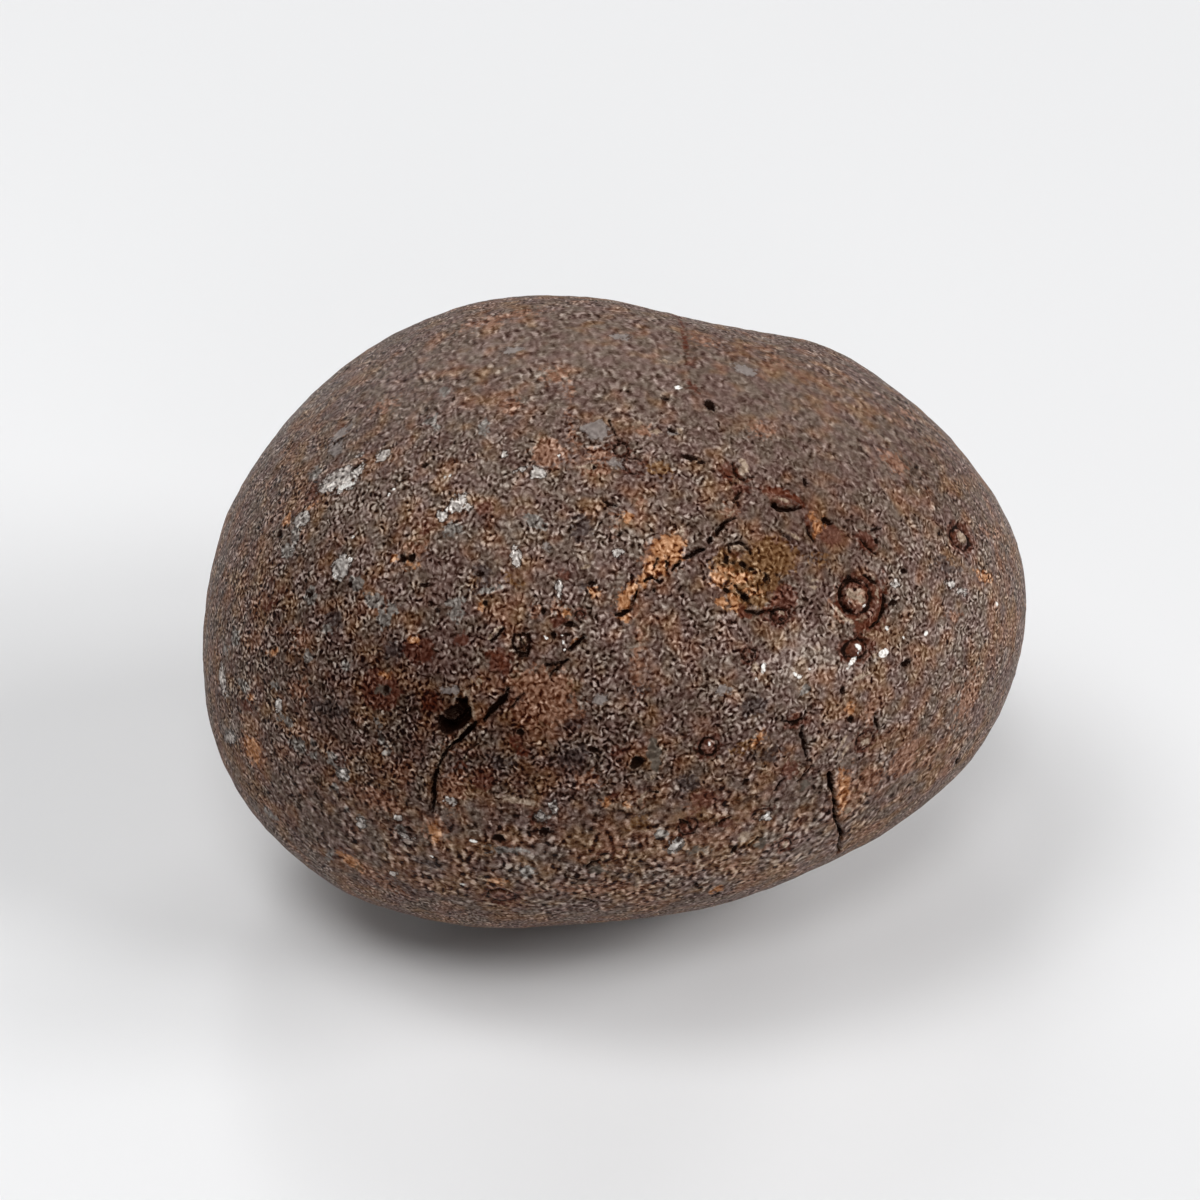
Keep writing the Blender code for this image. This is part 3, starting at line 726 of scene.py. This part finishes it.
class Nodes:
    def __init__(self, tree):
        self.tree = tree

    def put(self, kind, sockets=(), **settings):
        node = self.tree.nodes.new("ShaderNode" + kind)
        for k, v in settings.items():
            setattr(node, k, v)
        for key, value in dict(sockets).items():
            self.to(node.inputs[key], value)
        return node

    def to(self, socket, value):
        if isinstance(value, bpy.types.NodeSocket):
            self.tree.links.new(value, socket)
        else:
            socket.default_value = value

    def math(self, op, a, b=0.0, clamp=False):
        return self.put("Math", {0: a, 1: b}, operation=op, use_clamp=clamp).outputs[0]

    def total(self, base, *terms):
        """base plus each (value, its middle, weight)'s (value - middle) * weight."""
        out = base - sum(m * w for _v, m, w in terms)
        for v, _m, w in terms:
            out = self.put("Math", {0: v, 1: w, 2: out}, operation="MULTIPLY_ADD").outputs[0]
        return out

    def span(self, value, a, b, c=0.0, d=1.0, kind="SMOOTHSTEP"):
        return self.put("MapRange", {0: value, 1: a, 2: b, 3: c, 4: d}, interpolation_type=kind).outputs[0]

    def mix(self, factor, a, b, blend="MIX"):
        node = self.put("Mix", data_type="RGBA", blend_type=blend, clamp_factor=True)
        self.to(node.inputs[0], factor)
        self.to(node.inputs[6], a)
        self.to(node.inputs[7], b)
        return node.outputs[2]

    def noise(self, vector, scale, detail=2.0, rough=0.5, distortion=0.0):
        return self.put("TexNoise", {"Vector": vector, "Scale": scale, "Detail": detail, "Roughness": rough, "Distortion": distortion}).outputs

    def cells(self, vector, scale, feature="F1", randomness=1.0):
        return self.put("TexVoronoi", {"Vector": vector, "Scale": scale, "Randomness": randomness}, feature=feature).outputs

    def ramp(self, value, stops, kind="LINEAR"):
        node = self.put("ValToRGB", {0: value})
        node.color_ramp.interpolation = kind
        els = node.color_ramp.elements
        while len(els) > 1:
            els.remove(els[-1])
        for i, (at, colour) in enumerate(stops):
            e = els[0] if i == 0 else els.new(at)
            e.position = at
            e.color = colour
        return node.outputs[0]

    def vector(self, op, a, b=(0, 0, 0), scale=1.0):
        node = self.put("VectorMath", {0: a}, operation=op)
        if op == "SCALE":
            self.to(node.inputs[3], scale)
        else:
            self.to(node.inputs[1], b)
        return node.outputs[0]

    def attribute(self, name):
        return self.put("Attribute", attribute_name=name).outputs["Fac"]


def material(name):
    m = bpy.data.materials.new(name)
    m.use_nodes = True
    return m, Nodes(m.node_tree), m.node_tree.nodes["Principled BSDF"]


rock, N, shader = material("weathered_chondrite")
P = N.vector("SCALE", N.put("TexCoord").outputs["Object"], scale=1000.0)      # mm
wander = N.vector("SCALE", N.vector("SUBTRACT", N.noise(P, 3.2, 2.0, 0.6)[1], (0.5, 0.5, 0.5)), scale=0.34)
PW = N.vector("ADD", P, wander)

# tone: how light each grain is, about 0 to 1 with 0.5 the middle
worm = N.noise(PW, 5.5, 0.4, 0.5, 0.4)[0]
fine = N.noise(P, 10.5, 1.0, 0.5, 0.2)[0]
grain = N.cells(PW, 7.4)
own = N.put("SeparateColor", {0: grain["Color"]}).outputs
patchy = N.noise(P, 0.9, 2.0, 0.55)[0]


# Winding light and dark grains of one width. They lie on two flat charts, one for each half of the
# stone, which meet along the line between the halves. The coarser ones lie on a chart that folds over the top
# and under the foot.
middle = N.vector("SUBTRACT", PW, (1.34, -0.35, 10.9))


def along(axis):
    return N.put("VectorMath", {0: middle, 1: tuple(axis)}, operation="DOT_PRODUCT").outputs["Value"]


def curls(flat, *scale):
    return N.put("TexGabor", {"Vector": N.vector("MULTIPLY", flat, (*scale, 0.0)), "Scale": 1.0, "Frequency": 1.5, "Anisotropy": 0.0},
                 gabor_type="2D").outputs["Value"]


inward = N.math("ABSOLUTE", N.math("DIVIDE", along(BACK), N.put("VectorMath", {0: middle}, operation="LENGTH").outputs["Value"]))
opened = N.math("POWER", N.math("DIVIDE", 2.0, N.math("ADD", inward, 1.0)), 0.45)
chart = N.put("CombineXYZ", {0: N.math("MULTIPLY", along(RIGHT), opened), 1: N.math("MULTIPLY", along(UP), opened)}).outputs[0]
axes = N.put("SeparateXYZ", {0: middle}).outputs
folded = N.put("CombineXYZ", {0: axes["X"], 1: N.math("ADD", axes["Y"], N.math("ABSOLUTE", axes["Z"]))}).outputs[0]
thin, thick = curls(chart, 3.4, 2.9), curls(folded, 2.4, 1.2)
curl = N.math("ADD", thin, N.math("MULTIPLY", N.math("SUBTRACT", thick, thin), N.attribute("coarse")))
grains = N.total(0.0, (curl, 0.5, 1.44), (worm, 0.5, 0.76), (own[0], 0.5, 0.14), (grain["Distance"], 0.42, -0.25), (fine, 0.5, 0.14))
calm = N.span(N.noise(N.vector("ADD", P, (3.0, 17.0, 5.0)), 1.15, 1.5, 0.5)[0], 0.38, 0.60, 0.74, 1.18)      # quieter and busier patches
# The shade attribute adds the broad lightness of AREAS, with its painted sheen and painted shade.
tone = N.total(0.552, (N.math("MULTIPLY", grains, N.math("MULTIPLY", calm, N.attribute("contrast"))), 0.0, 1.0), (patchy, 0.5, 0.20), (N.attribute("shade"), 0.0, 1.0))

STEPS = ((0.0, 2), (0.14, 12), (0.26, 37), (0.40, 62), (0.54, 84), (0.68, 107), (0.84, 136), (1.0, 170))


def family(cast, green, steps=STEPS):
    """A ramp from dark to light with one cast: red over blue, and green over the middle of both."""
    stops = []
    for at, v in steps:
        g = green + max(-1.5, min(1.5, (v - 84) / 60))
        off = (cast / 2 - g / 3, g * 2 / 3, -cast / 2 - g / 3)
        stops.append((at, linear(*(max(1.0, v + c * min(1.0, (v + 26) / 46)) for c in off))))
    return N.ramp(tone, stops)


warmth = N.total(0.5, (N.noise(P, 1.25, 1.0, 0.5)[0], 0.5, 1.25), (patchy, 0.5, 0.7), (N.noise(N.vector("ADD", P, (9.0, 5.0, 21.0)), 0.4, 1.0, 0.5)[0], 0.5, 0.9), (N.attribute("warmth"), 0.0, 1.0))
green = N.noise(N.vector("ADD", P, (31.0, 7.0, 13.0)), 1.3, 1.5, 0.55)[0]
warmth, green = N.span(warmth, 0.36, 0.84), N.span(green, 0.30, 0.70)
colour = N.mix(green, N.mix(warmth, family(27, -7), family(50, -8)), N.mix(warmth, family(25, -2.5), family(49, -2.5)))

edge_noise = N.total(0.0, (N.noise(P, 4.2, 3.0, 0.65)[0], 0.5, 1.0), (own[2], 0.5, 0.16))
fine_edge = N.total(0.0, (N.noise(P, 8.5, 2.0, 0.6)[0], 0.5, 1.0))


def mask(kind, spread, soft, edge=None, at=0.0):
    """Where a kind of mark is, with its edge broken up by spread mm of noise."""
    return N.span(N.total(-at, (N.attribute(kind), 0.0, 1.0), (edge_noise if edge is None else edge, 0.0, spread)), soft, -soft)


is_red = N.math("MULTIPLY", mask("red", 0.7, 0.09), 0.88)
is_stain = N.math("MULTIPLY", mask("stain", 0.30, 0.045), 0.96)
is_orange = N.math("MULTIPLY", mask("orange", 0.6, 0.07), 0.95)
is_clay = N.math("MULTIPLY", mask("clay", 1.2, 0.12), 0.85)
is_ochre = N.math("MULTIPLY", mask("ochre", 1.1, 0.10), 0.9)
is_blue = N.math("MULTIPLY", mask("blue", 1.0, 0.12), 0.8)
is_grey = N.math("MULTIPLY", mask("grey", 0.5, 0.035), 0.92)
is_chip = N.math("MULTIPLY", mask("chip", 0.45, 0.04), 0.92)
chip_edge = N.math("MULTIPLY", N.math("SUBTRACT", mask("chip", 0.45, 0.04, at=0.05), is_chip, True), 0.5)
is_slate = N.math("MULTIPLY", mask("slate", 0.5, 0.05), 0.9)
is_tan = mask("tan", 0.30, 0.035)
is_metal = mask("metal", 0.42, 0.02)
# A dark outline just outside each metal flake: painted shadow round the flake.
painted_flake_shadow = N.math("MULTIPLY", N.math("SUBTRACT", mask("metal", 0.42, 0.03, at=0.05), is_metal, True), 0.75)
is_gloss = mask("gloss", 0.5, 0.08)
is_painted_glint = mask("painted_glint", 0.10, 0.02, fine_edge, at=-0.012)
# Near-black where the dark field is: painted shade in the cracks and holes, and the dark rims of the ring chondrules.
# Just outside lies a painted shadow fringe.
is_dark_and_painted_shade = mask("dark", 0.16, 0.028, fine_edge)
painted_shadow_fringe = N.math("MULTIPLY", mask("dark", 0.30, 0.04, fine_edge, at=0.03), 0.5)
colour = N.mix(is_blue, colour, family(12, -4, ((0.0, 3), (0.3, 26), (0.6, 58), (1.0, 112))))
colour = N.mix(is_clay, colour, family(56, -9, ((0.0, 6), (0.25, 40), (0.5, 90), (0.75, 130), (1.0, 176))))
colour = N.mix(is_red, colour, family(48, -12, ((0.0, 3), (0.3, 34), (0.6, 62), (1.0, 112))))
colour = N.mix(is_ochre, colour, family(60, -1, ((0.0, 4), (0.3, 40), (0.6, 84), (0.8, 110), (1.0, 156))))
colour = N.mix(is_orange, colour, family(84, -7, ((0.0, 8), (0.22, 48), (0.45, 100), (0.7, 144), (1.0, 196))))
colour = N.mix(is_stain, colour, family(54, -12, ((0.0, 3), (0.3, 34), (0.6, 58), (0.8, 76), (1.0, 104))))
colour = N.mix(is_grey, colour, family(12, -1, ((0.0, 22), (0.25, 62), (0.5, 102), (0.75, 138), (1.0, 184))))
colour = N.mix(chip_edge, colour, linear(44, 32, 27))
colour = N.mix(is_chip, colour, family(13, -3, ((0.0, 88), (0.5, 118), (1.0, 144))))
colour = N.mix(is_slate, colour, family(17, 0, ((0.0, 52), (0.5, 76), (1.0, 104))))
colour = N.mix(is_tan, colour, family(38, -2, ((0.0, 56), (0.5, 124), (1.0, 182))))
# Painted shadow round the metal flakes.
colour = N.mix(painted_flake_shadow, colour, linear(30, 21, 18))
colour = N.mix(is_metal, colour, family(13, -2, ((0.0, 44), (0.2, 92), (0.45, 144), (0.7, 182), (1.0, 228))))
# Painted shadow fringe round cracks, holes and ring rims, then their near-black: painted shade in cracks and holes.
colour = N.mix(painted_shadow_fringe, colour, linear(42, 21, 13))
colour = N.mix(is_dark_and_painted_shade, colour, linear(18, 6, 3))
# Painted glints: near-white spots that stand in for highlights.
colour = N.mix(is_painted_glint, colour, N.ramp(fine, [(0.3, linear(172, 160, 150)), (0.55, linear(252, 249, 244))]))
N.to(shader.inputs["Base Color"], colour)

shader.inputs["Specular IOR Level"].default_value = 0.06
shader.inputs["Specular Tint"].default_value = (1.0, 0.64, 0.46, 1.0)
rough = N.span(own[2], 0.0, 1.0, 0.42, 0.66, "LINEAR")
rough = N.math("SUBTRACT", rough, N.total(0.0, (is_gloss, 0.0, 0.26), (is_metal, 0.0, 0.10), (is_painted_glint, 0.0, 0.2)), True)
N.to(shader.inputs["Roughness"], rough)
N.to(shader.inputs["Metallic"], N.math("MULTIPLY", is_metal, 0.2))
relief = N.total(0.5, (N.noise(P, 7.0, 1.0, 0.5)[0], 0.5, 1.3))
smoother = N.math("SUBTRACT", 1.0, N.total(0.0, (is_gloss, 0.0, 0.55), (is_metal, 0.0, 0.2), (is_chip, 0.0, 0.6), (is_slate, 0.0, 0.6), (is_painted_glint, 0.0, 0.5)), True)
bump = N.put("Bump", {"Strength": N.math("MULTIPLY", N.math("MULTIPLY", smoother, N.attribute("contrast")), 0.45), "Distance": 0.00012, "Height": relief})
N.to(shader.inputs["Normal"], bump.outputs[0])
mesh.materials.append(rock)

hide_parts("meteorite_stone")
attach(stone, "root")

# ------------------------------------------------------------------ floor, backdrop and light
def disc(name, radius, sides=128):
    m = bpy.data.meshes.new(name)
    ring = [(radius * math.cos(2 * math.pi * k / sides), radius * math.sin(2 * math.pi * k / sides), 0.0) for k in range(sides)]
    m.from_pydata(ring, [], [list(range(sides))])
    return m


floor = bpy.data.objects.new("floor", disc("floor", 1.6))
fm, F, fs = material("floor")
fs.inputs["Base Color"].default_value = (0.800, 0.803, 0.812, 1)
fs.inputs["Roughness"].default_value = 0.28
floor.data.materials.append(fm)
bpy.context.scene.collection.objects.link(floor)

dome_u, dome_t = icosphere(3)
dome_mesh = bpy.data.meshes.new("backdrop")
dome_mesh.from_pydata((dome_u * 1.7).tolist(), [], dome_t.tolist())
dome_mesh.shade_smooth()
dome = bpy.data.objects.new("backdrop", dome_mesh)
dm, D, ds = material("backdrop")
ds.inputs["Base Color"].default_value = (0, 0, 0, 1)
ds.inputs["Specular IOR Level"].default_value = 0
ds.inputs["Emission Color"].default_value = (0.857, 0.862, 0.872, 1)
ds.inputs["Emission Strength"].default_value = 1.0
dome_mesh.materials.append(dm)
for flag in ("visible_diffuse", "visible_glossy", "visible_transmission", "visible_volume_scatter", "visible_shadow"):
    setattr(dome, flag, False)
bpy.context.scene.collection.objects.link(dome)

# Soft far lamps: azimuth from the camera's side of the stone (+ to the right), elevation, and how
# much of the floor's light each gives.
LAMPS = (
    ("right", 68, 35, 0.195),
    ("far_right", 90, 35, 0.165),
    ("front", 0, 60, 0.19),
    ("front_low", 11, 22, 0.035),
    ("left_front", -60, 60, 0.085),
    ("left", -90, 60, 0.115),
    ("left_top", -90, 74, 0.16),
    ("back_right", 146, 22, 0.075),
    ("back_top", -169, 48, 0.047),
    ("back_left", -150, 10, 0.036),
)
LAMP_WIDTH = 18.0             # degrees across
AMBIENT = 0.06
toward_camera = np.array((BACK[0], BACK[1], 0.0)) / math.hypot(BACK[0], BACK[1])
for name, azimuth, elevation, share in LAMPS:
    a, e = math.radians(azimuth), math.radians(elevation)
    d = RIGHT * math.sin(a) * math.cos(e) + toward_camera * math.cos(a) * math.cos(e) + np.array((0, 0, math.sin(e)))
    data = bpy.data.lights.new(name, "SUN")
    data.energy = math.pi * share / math.sin(e)
    data.angle = math.radians(LAMP_WIDTH)
    lamp = bpy.data.objects.new(name, data)
    lamp.rotation_euler = Vector(d).to_track_quat("Z", "Y").to_euler()
    bpy.context.scene.collection.objects.link(lamp)

world = bpy.data.worlds.new("studio")
world.use_nodes = True
world.node_tree.nodes["Background"].inputs[0].default_value = (1, 1, 1, 1)
world.node_tree.nodes["Background"].inputs[1].default_value = AMBIENT
bpy.context.scene.world = world
bpy.context.scene.view_settings.view_transform = "Standard"
